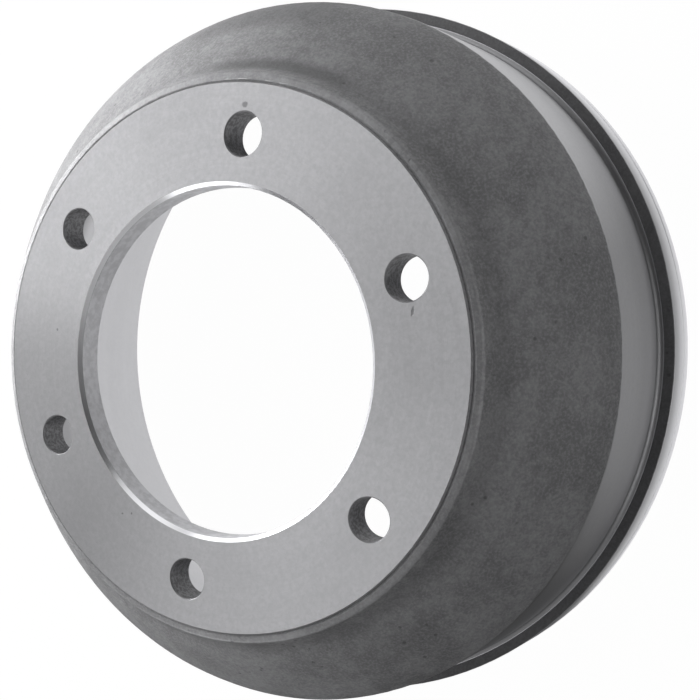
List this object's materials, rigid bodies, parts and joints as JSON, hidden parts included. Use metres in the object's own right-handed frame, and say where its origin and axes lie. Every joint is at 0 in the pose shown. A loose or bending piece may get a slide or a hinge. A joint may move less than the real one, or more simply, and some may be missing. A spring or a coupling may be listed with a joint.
{
  "type": "brake drum",
  "caption": "Cast iron brake drum with a machined mounting face, pilot bore and ring of stud holes, a sloped cast shoulder, a turned barrel and a thick band at the open end.",
  "frame": {"origin": "centre of the open end's face, on the axis of rotation; the drum stands on that face", "axes": "+Z along the axis of rotation, from the open end up to the mounting face; +X from the axis to the centre of one stud hole"},
  "size_m": [0.3812, 0.381, 0.143],
  "materials": {
    "cast_iron": "bare cast iron, dark as cast on the shoulder, turned bright on the mounting face, barrel, bores and open-end band"
  },
  "bodies": {
    "root": {"brake_drum": "cast_iron"}
  },
  "joints": []
}
